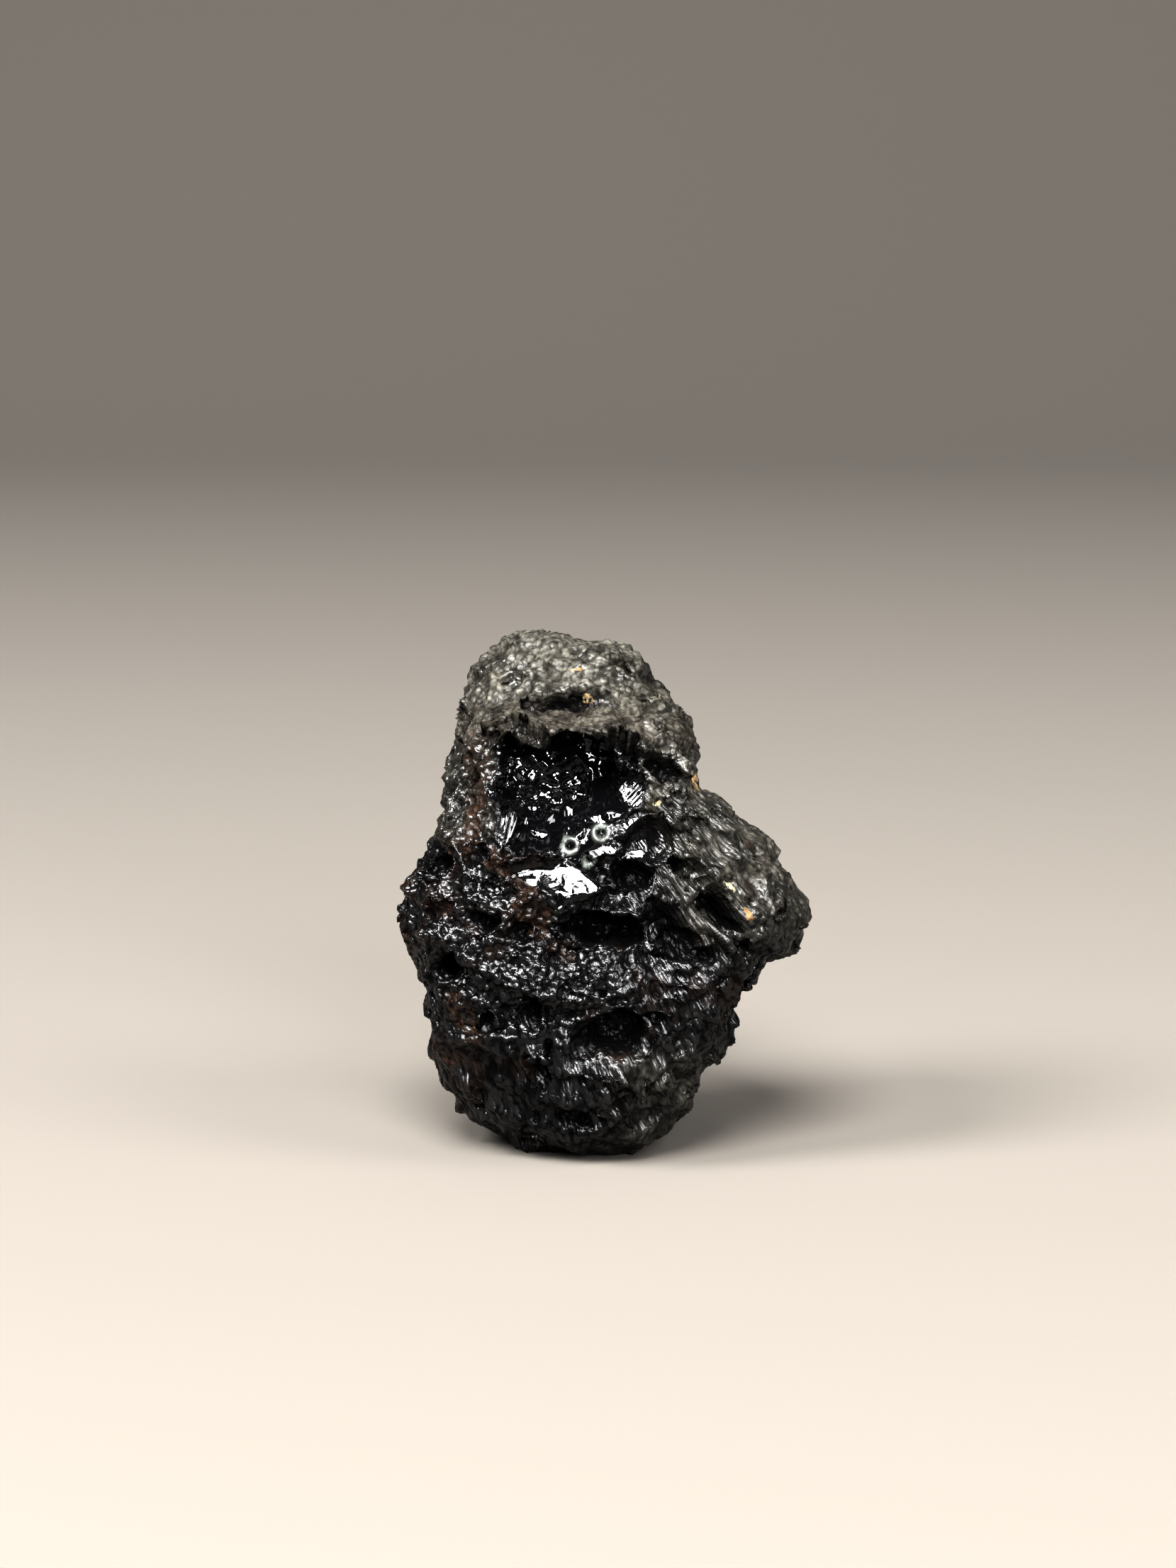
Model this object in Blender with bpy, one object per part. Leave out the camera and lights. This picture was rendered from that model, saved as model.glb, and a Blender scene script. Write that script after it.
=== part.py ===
"""A tektite: one irregular pebble of natural black glass, standing on a small flat spot.

The stone is one closed solid. A sphere takes the outline that the stone shows from the front, then its facets,
bubble pits, scoops and ridges are pressed in, and last the underside is cut flat where the stone rests.
Tables are in millimetres. X runs to the right, Y away from the front, Z up, from the middle of the stone.
The finished solid is in metres, with its origin under the middle of the stone, at the height of the resting spot.
"""

import math

import bmesh
import bpy
import numpy as np
from mathutils import Matrix, Vector

MM = 0.001

# Driving dimensions, in millimetres and degrees
FRONT_DEPTH = 4.9
BACK_DEPTH = 4.6
FULLNESS = 2.6
LEAN_BACK = 10.0
RESTING_CUT = 7.0
RESTING_SNAP = 0.06
GRID_CELLS = 96
TRIANGLES = 9400

# The outline seen from the front, clockwise from the top, as (x, z)
OUTLINE = [
    (-1.7, 7.6), (-0.9, 7.3), (0.0, 7.25), (0.8, 7.0), (1.2, 6.65), (1.5, 6.0),
    (1.9, 5.75), (2.3, 5.0), (2.6, 4.3), (2.7, 3.65), (2.65, 3.35), (2.8, 2.9),
    (3.5, 2.45), (4.2, 1.95), (4.75, 1.2), (5.1, 0.65), (5.4, 0.05), (5.65, -0.2),
    (5.85, -0.65), (5.65, -1.35), (5.45, -1.75), (4.7, -2.05), (4.4, -2.5), (4.25, -2.85),
    (3.85, -2.9), (3.8, -3.8), (3.65, -4.4), (3.0, -4.95), (2.85, -5.4), (2.7, -5.85),
    (2.25, -6.4), (1.9, -6.8), (1.1, -7.3), (-0.6, -7.45), (-1.9, -7.4), (-2.6, -7.15),
    (-3.4, -6.55), (-4.1, -5.95), (-4.75, -4.9), (-4.9, -3.7), (-5.0, -2.6), (-5.2, -1.85),
    (-5.55, -1.25), (-5.65, -0.6), (-5.5, 0.4), (-5.15, 1.0), (-4.65, 2.0), (-4.4, 2.95),
    (-4.2, 3.9), (-4.0, 4.8), (-4.0, 5.85), (-3.65, 6.65), (-3.15, 7.15), (-2.5, 7.45),
]
EDGE_BLUR = 1.2
SIDE_BLUR = 8.0
FORM_BLUR = 24.0

# The lump on top stands behind the rest of the front by this much, from this height up
LUMP_BEHIND = 2.2
LUMP_FROM = 4.35
LUMP_STEP = 1.2

# The large bubble that opens on the front: its middle, its depth, the way in, and the rim's straight
# sides as (direction of the side, distance from the middle, width of the wall below that side)
CAVITY_MIDDLE = (-1.1, 2.65)
CAVITY_DEPTH = 2.2
CAVITY_UNEVEN = 0.22
CAVITY_WAY_IN = (0.0, 0.97, 0.24)
CAVITY_SIDES = [
    (90, 1.74, 0.5),
    (25, 2.28, 0.9),
    (0, 2.2, 1.3),
    (-47, 1.75, 1.2),
    (-92, 1.72, 0.9),
    (-141, 2.06, 0.8),
    (180, 2.05, 0.6),
]

# Flat facets on the front, as (x, z, half length, half width, turn, depth, tilt up, tilt to the right, freshness).
# A fresh one, at 1, has no dimples
FACETS = [
    (-1.35, 0.35, 1.35, 0.75, -10, 0.1, 24, -5, 1.0),
    (1.1, 1.4, 1.1, 0.75, 15, 0.35, 15, 20, 0.8),
    (3.5, 0.9, 1.9, 0.8, -50, 0.2, 25, 35, 0.0),
    (-3.9, 3.4, 1.6, 0.7, 80, 0.2, 10, -40, 0.0),
    (1.9, -5.6, 1.4, 1.0, 30, 0.3, -35, 25, 0.0),
    (-3.0, -5.4, 1.6, 1.0, -35, 0.3, -30, -30, 0.0),
]

# Hollows on the front, as (x, z, half length, half width, turn, depth). A depth below 0 raises a ridge
FRONT_HOLLOWS = [
    (-0.9, 5.35, 1.7, 0.6, 0, 0.8),
    (-0.15, -0.9, 1.3, 0.75, -5, 1.2),
    (0.86, 0.36, 0.65, 0.38, -12, 0.6),
    (1.7, -0.85, 0.6, 0.55, 0, 0.85),
    (2.14, -1.44, 0.45, 0.36, -10, 0.58),
    (3.4, -0.66, 0.7, 0.32, -38, 0.51),
    (3.82, -1.74, 0.5, 0.28, -35, 0.45),
    (0.3, -4.1, 1.1, 0.7, -8, 0.7),
    (0.35, -4.2, 0.7, 0.45, -5, 0.6),
    (1.5, -3.55, 0.5, 0.3, -30, 0.45),
    (-2.15, -3.4, 0.3, 0.6, 0, 0.48),
    (-1.8, -5.0, 0.25, 0.5, 0, 0.4),
    (-2.15, -5.65, 0.45, 0.25, 0, 0.4),
    (-0.9, -6.6, 0.6, 0.25, -5, 0.35),
    (0.7, -5.9, 0.4, 0.3, -40, 0.3),
    (-4.2, -2.15, 0.55, 0.48, 10, 0.7),
    (-4.5, 0.76, 0.5, 0.27, 5, 0.43),
    (-3.5, 1.02, 0.38, 0.28, 0, 0.45),
    (-3.4, -0.84, 0.6, 0.3, 5, 0.48),
    (1.65, 3.5, 0.62, 0.36, -5, 0.58),
    (2.0, 2.95, 0.4, 0.28, -50, 0.35),
    (-1.1, -6.3, 1.3, 0.5, -10, 0.35),
    (-4.2, 2.4, 0.7, 0.3, 75, 0.25),
    (-2.5, 6.3, 0.8, 0.45, 30, 0.3),
    (0.3, 6.35, 0.5, 0.24, 10, 0.38),
    (-1.0, 5.3, 0.65, 0.28, 0, 0.45),
    (2.6, 0.9, 1.7, 0.4, -50, -0.3),
    (-1.0, -2.55, 2.3, 0.75, -5, -0.4),
    (-2.5, 0.4, 1.3, 0.4, -55, -0.3),
    (1.2, -2.2, 1.3, 0.4, -15, -0.25),
    (-4.7, -0.2, 0.8, 0.5, 15, -0.25),
    (-0.3, -5.0, 1.5, 0.4, -5, -0.25),
]

# Scoops round the sides and the back, as (azimuth, elevation, half length, half width, turn, depth)
AROUND_HOLLOWS = [
    (70, 18, 1.6, 1.1, 40, 0.5),
    (105, -28, 2.0, 1.3, -20, 0.7),
    (128, 8, 1.3, 0.9, 70, 0.5),
    (150, 32, 2.3, 1.6, 15, 0.8),
    (165, -38, 1.9, 1.2, -35, 0.6),
    (185, -8, 1.8, 1.5, 60, 0.8),
    (212, 38, 1.5, 1.1, -30, 0.5),
    (240, -25, 2.2, 1.5, 25, 0.8),
    (280, 12, 1.6, 1.2, 80, 0.5),
    (310, -45, 1.4, 0.9, 10, 0.3),
]
HOLLOW_REACH = 2.6

# How far the edges of hollows wander, and over what distance
WANDER = 0.2
WANDER_SIZE = 0.75

# Dimples left by etching, as (spacing, depth, seed)
DIMPLES = [(1.55, 0.26, 11), (0.8, 0.1, 29)]

# The glass
GLASS_COLOUR = (0.012, 0.012, 0.013, 1.0)
GLASS_ROUGHNESS = 0.28


def smooth(t):
    """0 below 0, 1 above 1, and an S-curve between."""
    t = np.clip(t, 0.0, 1.0)
    return t * t * (3.0 - 2.0 * t)


def outline_radius(angle, blur):
    """Distance from the middle to the outline at each angle in radians, smoothed over that many degrees."""
    points = np.array(OUTLINE)
    at = np.degrees(np.arctan2(points[:, 1], points[:, 0]))
    order = np.argsort(at)
    steps = np.arange(-180.0, 180.0, 0.5)
    radius = np.interp(steps, at[order], np.hypot(*points.T)[order], period=360.0)
    kernel = np.exp(-0.5 * (steps / blur) ** 2)
    spectrum = np.fft.rfft(radius) * np.fft.rfft(np.fft.ifftshift(kernel / kernel.sum()))
    return np.interp(np.degrees(angle), steps, np.fft.irfft(spectrum, len(steps)), period=360.0)


def form_radius(across, angle):
    """The form's reach across the view: the outline at its edge, and a rounder one toward the front and the back."""
    plain = outline_radius(angle, FORM_BLUR)
    side = outline_radius(angle, SIDE_BLUR)
    edge = outline_radius(angle, EDGE_BLUR)
    return plain + (side - plain) * smooth((across - 0.5) / 0.4) + (edge - side) * smooth((across - 0.8) / 0.18)


def set_back(x, y, z):
    """How far a point moves back: the lump on top stands behind the rest, and the whole is a little twisted."""
    lump = LUMP_BEHIND * smooth((z - LUMP_FROM) / LUMP_STEP) * (1.0 - 0.8 * smooth((y + 3.0) / 6.0))
    return lump + 0.6 * np.sin(0.5 * x + 0.6) * np.cos(0.35 * z)


def form(directions):
    """The plain pebble: an ellipsoid whose front view is the outline."""
    dx, dy, dz = directions.T
    across = np.hypot(dx, dz)
    radius = form_radius(across, np.arctan2(dz, dx))
    depth = np.where(dy < 0.0, FRONT_DEPTH, BACK_DEPTH)
    size = ((across / radius) ** FULLNESS + (np.abs(dy) / depth) ** FULLNESS) ** (-1.0 / FULLNESS)
    points = directions * size[:, None]
    points[:, 1] += set_back(*points.T)
    return points


def direction_of_front(x, z):
    """The direction from the middle to the front point that shows at (x, z)."""
    share = math.hypot(x, z) / outline_radius(np.array([math.atan2(z, x)]), SIDE_BLUR)[0]
    toward = FRONT_DEPTH * max(0.02, 1.0 - share**FULLNESS) ** (1.0 / FULLNESS)
    return Vector((x, -toward, z)).normalized()


def direction_of_angles(azimuth, elevation):
    """The direction at an azimuth, 0 at the front and 90 at +X, and an elevation, both in degrees."""
    turned, raised = math.radians(azimuth), math.radians(elevation)
    return Vector((math.sin(turned) * math.cos(raised), -math.cos(turned) * math.cos(raised), math.sin(raised)))


def oval(points, direction, length, width, turn):
    """0 at the middle of an oval on the surface and 1 at its edge, and the way inwards there. The oval's long axis is
    turned from +X toward +Z, and its edge wanders."""
    inward = -Vector((direction.x / 5.0, direction.y / FRONT_DEPTH, direction.z / 7.0)).normalized()
    along = Vector((math.cos(math.radians(turn)), 0.0, math.sin(math.radians(turn))))
    along = (along - inward * along.dot(inward)).normalized()
    offset = points + wander(points) - form(np.array([direction]))[0]
    spread = (offset @ np.array(along) / length) ** 2 + (offset @ np.array(inward.cross(along)) / width) ** 2
    return spread + (offset @ np.array(inward) / HOLLOW_REACH) ** 2, np.array(inward)


def press(points, direction, length, width, turn, depth):
    """Presses an oval hollow with a crisp rim into the points, or raises a soft ridge if the depth is below 0."""
    spread, inward = oval(points, direction, length, width, turn)
    inside = np.clip(1.0 - spread, 0.0, None)
    bowl = inside if depth > 0.0 else inside**1.5
    return points + np.outer(depth * bowl, inward)


def flatten(points, direction, length, width, turn, depth, up, right):
    """Lays a tilted flat facet: points move to its plane, fully in the middle of an oval and less toward its edge.
    Also returns how fully."""
    inside = smooth(1.7 * (1.0 - oval(points, direction, length, width, turn)[0]))
    facing = np.array(Vector((math.tan(math.radians(right)), -1.0, math.tan(math.radians(up)))).normalized())
    beyond = np.clip((points - form(np.array([direction]))[0]) @ facing + depth, -0.6, None)
    return points - np.outer(beyond * inside, facing), inside * (points[:, 1] < 0.0)


def cavity_share(points):
    """0 outside the large bubble's rim and 1 on its floor. Each side of the rim is a straight line with its own wall."""
    x, z = points[:, 0] - CAVITY_MIDDLE[0], points[:, 2] - CAVITY_MIDDLE[1]
    scallop = 0.08 * np.sin(5.2 * x + 1.0) + 0.08 * np.sin(4.6 * z + 2.0)
    share = smooth(-points[:, 1] / 1.5)
    for side, distance, wall in CAVITY_SIDES:
        inside = distance + scallop - x * math.cos(math.radians(side)) - z * math.sin(math.radians(side))
        share = share * smooth(inside / wall)
    return share


def cell_random(cells, seed):
    """Three numbers from 0 to 1 for each cell of a whole-number lattice, the same in each run."""
    mixed = cells[..., 0] * 73856093 ^ cells[..., 1] * 19349663 ^ cells[..., 2] * 83492791 ^ seed * 2654435761
    columns = []
    for _ in range(3):
        mixed = (mixed * 1103515245 + 12345) & 0x7FFFFFFF
        mixed = mixed ^ (mixed >> 15)
        columns.append((mixed & 0xFFFF) / 65536.0)
    return np.stack(columns, axis=-1)


def nearest_seed(points, size, seed):
    """Distance to the nearest of the points scattered one to a cell, in cell sizes."""
    scaled = points / size
    cell = np.floor(scaled).astype(np.int64)
    nearest = np.full(len(points), np.inf)
    for step in np.ndindex(3, 3, 3):
        there = cell + np.array(step) - 1
        nearest = np.minimum(nearest, np.linalg.norm(there + cell_random(there, seed) - scaled, axis=1))
    return nearest


def soft_noise(points, size, seed):
    """Noise from -1 to 1: random numbers at a lattice's corners, blended between them."""
    scaled = points / size
    cell = np.floor(scaled).astype(np.int64)
    part = smooth(scaled - cell)
    total = np.zeros(len(points))
    for step in np.ndindex(2, 2, 2):
        weight = np.where(np.array(step) == 1, part, 1.0 - part).prod(axis=1)
        total += weight * cell_random(cell + np.array(step), seed)[:, 0]
    return 2.0 * total - 1.0


def wander(points):
    """How far the edges of hollows wander at each point."""
    return WANDER * np.stack([soft_noise(points, WANDER_SIZE, seed) for seed in (41, 42, 43)], axis=-1)


def sphere_of_squares():
    """A unit sphere with even squares all over: a cube, cut into a grid and blown up round."""
    sphere = bmesh.new()
    bmesh.ops.create_cube(sphere, size=2.0)
    bmesh.ops.subdivide_edges(sphere, edges=sphere.edges, cuts=GRID_CELLS - 1, use_grid_fill=True)
    mesh = bpy.data.meshes.new("tektite")
    sphere.to_mesh(mesh)
    sphere.free()
    return mesh


def read_points(mesh, what="co"):
    values = np.empty(len(mesh.vertices) * 3)
    mesh.vertices.foreach_get(what, values)
    return values.reshape(-1, 3)


def write_points(mesh, points):
    mesh.vertices.foreach_set("co", points.ravel())
    mesh.update()


def shape_stone(mesh):
    """Moves the sphere's points to the stone's surface, in millimetres from the stone's middle."""
    corners = np.tan(read_points(mesh) * math.pi / 4.0)
    directions = corners / np.linalg.norm(corners, axis=1)[:, None]
    points = form(directions)
    for azimuth, elevation, *hollow in AROUND_HOLLOWS:
        points = press(points, direction_of_angles(azimuth, elevation), *hollow)
    for x, z, *hollow in FRONT_HOLLOWS:
        points = press(points, direction_of_front(x, z), *hollow)
    fresh = np.zeros(len(points))
    for x, z, *facet, freshness in FACETS:
        points, inside = flatten(points, direction_of_front(x, z), *facet)
        fresh = np.maximum(fresh, freshness * inside)
    opening = cavity_share(points + 0.6 * wander(points))
    uneven = 1.0 + CAVITY_UNEVEN * soft_noise(points, 1.1, 61)
    points = points + np.outer(CAVITY_DEPTH * opening * uneven, np.array(CAVITY_WAY_IN))
    fresh = np.maximum(fresh, smooth(8.0 * opening))
    write_points(mesh, points)
    for size, depth, seed in DIMPLES:
        dimple = np.clip(1.0 - (nearest_seed(points, size, seed) / 0.8) ** 2, 0.0, None)
        change = depth * (0.35 - dimple) * (1.0 - fresh)
        points = points + read_points(mesh, "normal") * change[:, None]
        write_points(mesh, points)


def thinned(mesh):
    """The same shape in fewer triangles: small where the surface bends, and large where it is plain."""
    fine = bpy.data.objects.new("tektite_fine", mesh)
    bpy.context.scene.collection.objects.link(fine)
    fewer = fine.modifiers.new("fewer", "DECIMATE")
    fewer.ratio = TRIANGLES / (2 * len(mesh.polygons))
    graph = bpy.context.evaluated_depsgraph_get()
    coarse = bpy.data.meshes.new_from_object(fine.evaluated_get(graph))
    bpy.data.objects.remove(fine)
    return coarse


def cut_resting_spot(mesh):
    """Leans the stone back as it stands, and cuts its underside flat at the height 0."""
    mesh.transform(Matrix.Rotation(math.radians(-LEAN_BACK), 4, "X"))
    points = read_points(mesh)
    points[:, 2] += RESTING_CUT
    points[np.abs(points[:, 2]) < RESTING_SNAP, 2] = 0.0
    write_points(mesh, points)
    stone = bmesh.new()
    stone.from_mesh(mesh)
    everything = list(stone.verts) + list(stone.edges) + list(stone.faces)
    cut = bmesh.ops.bisect_plane(
        stone, geom=everything, dist=1e-6, plane_co=(0, 0, 0), plane_no=(0, 0, -1), clear_outer=True
    )
    rim = [piece for piece in cut["geom_cut"] if isinstance(piece, bmesh.types.BMEdge)]
    bmesh.ops.contextual_create(stone, geom=rim)
    bmesh.ops.recalc_face_normals(stone, faces=stone.faces)
    stone.to_mesh(mesh)
    stone.free()


def glass():
    """Black natural glass, glossy where it is fresh and duller on its weathered skin."""
    material = bpy.data.materials.new("tektite_glass")
    material.use_nodes = True
    shader = material.node_tree.nodes["Principled BSDF"]
    shader.inputs["Base Color"].default_value = GLASS_COLOUR
    shader.inputs["Roughness"].default_value = GLASS_ROUGHNESS
    shader.inputs["Metallic"].default_value = 0.0
    return material


def main():
    for old in list(bpy.data.objects):
        bpy.data.objects.remove(old)
    collection = bpy.data.collections.new("tektite")
    bpy.context.scene.collection.children.link(collection)
    fine = sphere_of_squares()
    shape_stone(fine)
    mesh = thinned(fine)
    bpy.data.meshes.remove(fine)
    cut_resting_spot(mesh)
    mesh.transform(Matrix.Scale(MM, 4))
    mesh.materials.clear()
    mesh.materials.append(glass())
    mesh.shade_smooth()
    collection.objects.link(bpy.data.objects.new("tektite", mesh))


main()
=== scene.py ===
"""The looks of a tektite: the fine skin and the glass of one pebble, and a plain studio round it."""

import math

import bpy
import numpy as np
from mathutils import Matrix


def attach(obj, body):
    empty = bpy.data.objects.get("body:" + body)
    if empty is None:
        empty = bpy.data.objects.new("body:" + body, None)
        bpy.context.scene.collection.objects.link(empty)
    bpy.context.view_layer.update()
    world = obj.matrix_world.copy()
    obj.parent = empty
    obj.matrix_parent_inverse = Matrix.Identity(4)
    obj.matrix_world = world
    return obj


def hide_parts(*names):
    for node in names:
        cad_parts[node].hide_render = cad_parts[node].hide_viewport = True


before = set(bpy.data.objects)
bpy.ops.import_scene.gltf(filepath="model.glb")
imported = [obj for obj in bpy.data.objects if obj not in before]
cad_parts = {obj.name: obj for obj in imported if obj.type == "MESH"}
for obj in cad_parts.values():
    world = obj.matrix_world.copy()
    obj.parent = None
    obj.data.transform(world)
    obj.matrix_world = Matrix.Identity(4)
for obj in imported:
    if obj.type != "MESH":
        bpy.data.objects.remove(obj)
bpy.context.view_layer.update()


# The tektite. One pebble of natural black glass, thrown out molten by an impact and etched since by the acids
# of the soil. It broke open across a large bubble, whose wall is still fresh and glossy. The skin round it is
# pitted, grained like droplets, and drawn out along the lines in which the melt flowed.

# All lengths are in millimetres: X to the right, Y away from the front and Z up, from the middle of the stone
MM = 0.001

# How deep the stone is in front of its middle and behind it, how full its section is, where 2 is an ellipse,
# and how far a slow wave moves its front and back
FRONT_DEPTH = 4.9
BACK_DEPTH = 4.6
FULLNESS = 2.6
FRONT_WAVE = 0.6

# The outline seen from the front, clockwise from the top, as (x, z)
OUTLINE = [
    (-1.7, 7.6), (-0.9, 7.3), (0.0, 7.25), (0.8, 7.0), (1.2, 6.65), (1.5, 6.0),
    (1.9, 5.75), (2.3, 5.0), (2.6, 4.3), (2.7, 3.65), (2.65, 3.35), (2.8, 2.9),
    (3.5, 2.45), (4.2, 1.95), (4.75, 1.2), (5.1, 0.65), (5.4, 0.05), (5.65, -0.2),
    (5.85, -0.65), (5.65, -1.35), (5.45, -1.75), (4.7, -2.05), (4.4, -2.5), (4.25, -2.85),
    (3.85, -2.9), (3.75, -3.8), (3.55, -4.4), (2.9, -4.95), (2.7, -5.4), (2.45, -5.85),
    (1.9, -6.4), (1.45, -6.85), (0.8, -7.3), (-0.6, -7.45), (-1.9, -7.4), (-2.6, -7.15),
    (-3.4, -6.55), (-4.1, -5.95), (-4.75, -4.9), (-4.9, -3.7), (-5.0, -2.6), (-5.2, -1.85),
    (-5.55, -1.25), (-5.65, -0.6), (-5.5, 0.4), (-5.15, 1.0), (-4.65, 2.0), (-4.4, 2.95),
    (-4.2, 3.9), (-4.0, 4.8), (-4.0, 5.85), (-3.65, 6.65), (-3.15, 7.15), (-2.5, 7.45),
]

# How far the outline is averaged, in degrees: at the edge of the view, just inside it, and for the rest of
# the front
EDGE_BLUR = 1.2
SIDE_BLUR = 8.0
FORM_BLUR = 24.0

# The lump on top stands behind the rest of the front by this much, from the first height to the second
LUMP_BEHIND = 2.2
LUMP_RISE = (4.35, 5.55)


def smooth(share):
    """0 below 0, 1 above 1, and the S-curve 3t^2 - 2t^3 between."""
    t = np.clip(share, 0.0, 1.0)
    return t * t * (3.0 - 2.0 * t)


def rise(values, start, end):
    """0 up to the start, 1 from the end on, and an S-curve between. The end may be the lower one."""
    return smooth((values - start) / (end - start))


def unit(vectors):
    """Each row at length 1."""
    return vectors / np.linalg.norm(vectors, axis=-1, keepdims=True)


def outline_radius(angle, blur):
    """Distance from the middle to the outline at each angle in radians: straight lines from point to point,
    then a bell-shaped average over that many degrees."""
    points = np.array(OUTLINE)
    at = np.degrees(np.arctan2(points[:, 1], points[:, 0]))
    order = np.argsort(at)
    steps = np.arange(-180.0, 180.0, 0.5)
    radius = np.interp(steps, at[order], np.hypot(*points.T)[order], period=360.0)
    kernel = np.exp(-0.5 * (steps / blur) ** 2)
    spectrum = np.fft.rfft(radius) * np.fft.rfft(np.fft.ifftshift(kernel / kernel.sum()))
    return np.interp(np.degrees(angle), steps, np.fft.irfft(spectrum, len(steps)), period=360.0)


def form(directions):
    """The plain pebble. Along a direction, across is its length in the view's plane and depth its length in
    Y. The distance out is (|across/radius|^n + |depth/half depth|^n)^(-1/n), where the radius is the
    outline's at that angle: sharp at the edge of the view, and rounder toward the front and the back. The
    lump on top is then set back, and a slow wave moves the front and the back."""
    dx, dy, dz = directions.T
    across = np.hypot(dx, dz)
    angle = np.arctan2(dz, dx)
    plain, side, edge = (outline_radius(angle, blur) for blur in (FORM_BLUR, SIDE_BLUR, EDGE_BLUR))
    radius = plain + (side - plain) * rise(across, 0.5, 0.9)
    radius += (edge - side) * rise(across, 0.8, 0.98)
    depth = np.where(dy < 0.0, FRONT_DEPTH, BACK_DEPTH)
    size = ((across / radius) ** FULLNESS + (np.abs(dy) / depth) ** FULLNESS) ** (-1.0 / FULLNESS)
    points = directions * size[:, None]
    x, y, z = points.T
    lump = LUMP_BEHIND * rise(z, *LUMP_RISE) * (1.0 - 0.8 * rise(y, -3.0, 3.0))
    points[:, 1] += lump + FRONT_WAVE * np.sin(0.5 * x + 0.6) * np.cos(0.35 * z)
    return points


# The grid: squares along a cube's edge, and how strongly they are drawn toward the front
GRID_CELLS = 128
GRID_PULL = 0.42


def cube_grid(cells):
    """A cube's surface as six grids of two parameters, which both run from -cells to cells in steps of 2.
    Points where sides meet are made one. Returns the points, as whole numbers, and the squares, facing
    outwards."""
    a, b = np.meshgrid(np.arange(-cells, cells + 1, 2), np.arange(-cells, cells + 1, 2), indexing="ij")
    index = np.arange(a.size).reshape(a.shape)
    square = np.stack([index[:-1, :-1], index[1:, :-1], index[1:, 1:], index[:-1, 1:]], axis=-1)
    square = square.reshape(-1, 4)
    points, squares = [], []
    for axis in range(3):
        for sign in (-1, 1):
            side = np.full(a.shape + (3,), sign * cells)
            side[..., (axis + 1) % 3] = a if sign > 0 else b
            side[..., (axis + 2) % 3] = b if sign > 0 else a
            squares.append(square + len(points) * a.size)
            points.append(side.reshape(-1, 3))
    points, same = np.unique(np.concatenate(points), axis=0, return_inverse=True)
    return points, same.reshape(-1)[np.concatenate(squares)]


def grid_directions(lattice):
    """Directions through a cube's grid: the tangent of each coordinate evens out the squares' angles, and
    adding a vector toward the front makes the squares small there and large at the back."""
    directions = unit(np.tan(lattice * (math.pi / 4.0 / GRID_CELLS)))
    return unit(directions + np.array([0.0, -GRID_PULL, 0.0]))


def facing_out(points, squares):
    """Each point's unit normal: the sum of the cross products of the diagonals of the squares round it."""
    first, second, third, fourth = (points[squares[:, k]] for k in range(4))
    facing = np.cross(third - first, fourth - second)
    corners = squares.ravel()
    return unit(
        np.stack([np.bincount(corners, np.repeat(facing[:, k], 4), len(points)) for k in range(3)], axis=-1)
    )


lattice, squares = cube_grid(GRID_CELLS)
points = form(grid_directions(lattice))

# How far the edges of hollows and stains wander, as (size of the waves, reach, seeds)
WANDERS = [(0.75, 0.2, (41, 42, 43)), (0.3, 0.08, (44, 45, 46))]


def cell_random(cells, seed):
    """Three numbers from 0 to 1 for each cell of a whole-number lattice, the same in each run."""
    mixed = cells[..., 0] * 73856093 ^ cells[..., 1] * 19349663 ^ cells[..., 2] * 83492791 ^ seed * 2654435761
    columns = []
    for _ in range(3):
        mixed = (mixed * 1103515245 + 12345) & 0x7FFFFFFF
        mixed = mixed ^ (mixed >> 15)
        columns.append((mixed & 0xFFFF) / 65536.0)
    return np.stack(columns, axis=-1)


def soft_noise(points, size, seed):
    """Noise from -1 to 1: random numbers at a lattice's corners, blended between them with an S-curve."""
    scaled = points / size
    cell = np.floor(scaled).astype(np.int64)
    part = smooth(scaled - cell)
    total = np.zeros(len(points))
    for step in np.ndindex(2, 2, 2):
        weight = np.where(np.array(step) == 1, part, 1.0 - part).prod(axis=1)
        total += weight * cell_random(cell + np.array(step), seed)[:, 0]
    return 2.0 * total - 1.0


wander = np.zeros(points.shape)
for size, reach, seeds in WANDERS:
    wander += reach * np.stack([soft_noise(points, size, seed) for seed in seeds], axis=-1)

# Scoops round the sides and the back, as (azimuth, elevation, half length, half width, turn, depth)
AROUND_HOLLOWS = [
    (70, 18, 1.6, 1.1, 40, 0.5),
    (105, -28, 2.0, 1.3, -20, 0.7),
    (128, 8, 1.3, 0.9, 70, 0.5),
    (150, 32, 2.3, 1.6, 15, 0.8),
    (165, -38, 1.9, 1.2, -35, 0.6),
    (185, -8, 1.8, 1.5, 60, 0.8),
    (212, 38, 1.5, 1.1, -30, 0.5),
    (240, -25, 2.2, 1.5, 25, 0.8),
    (280, 12, 1.6, 1.2, 80, 0.5),
    (310, -45, 1.4, 0.9, 10, 0.3),
]

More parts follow.
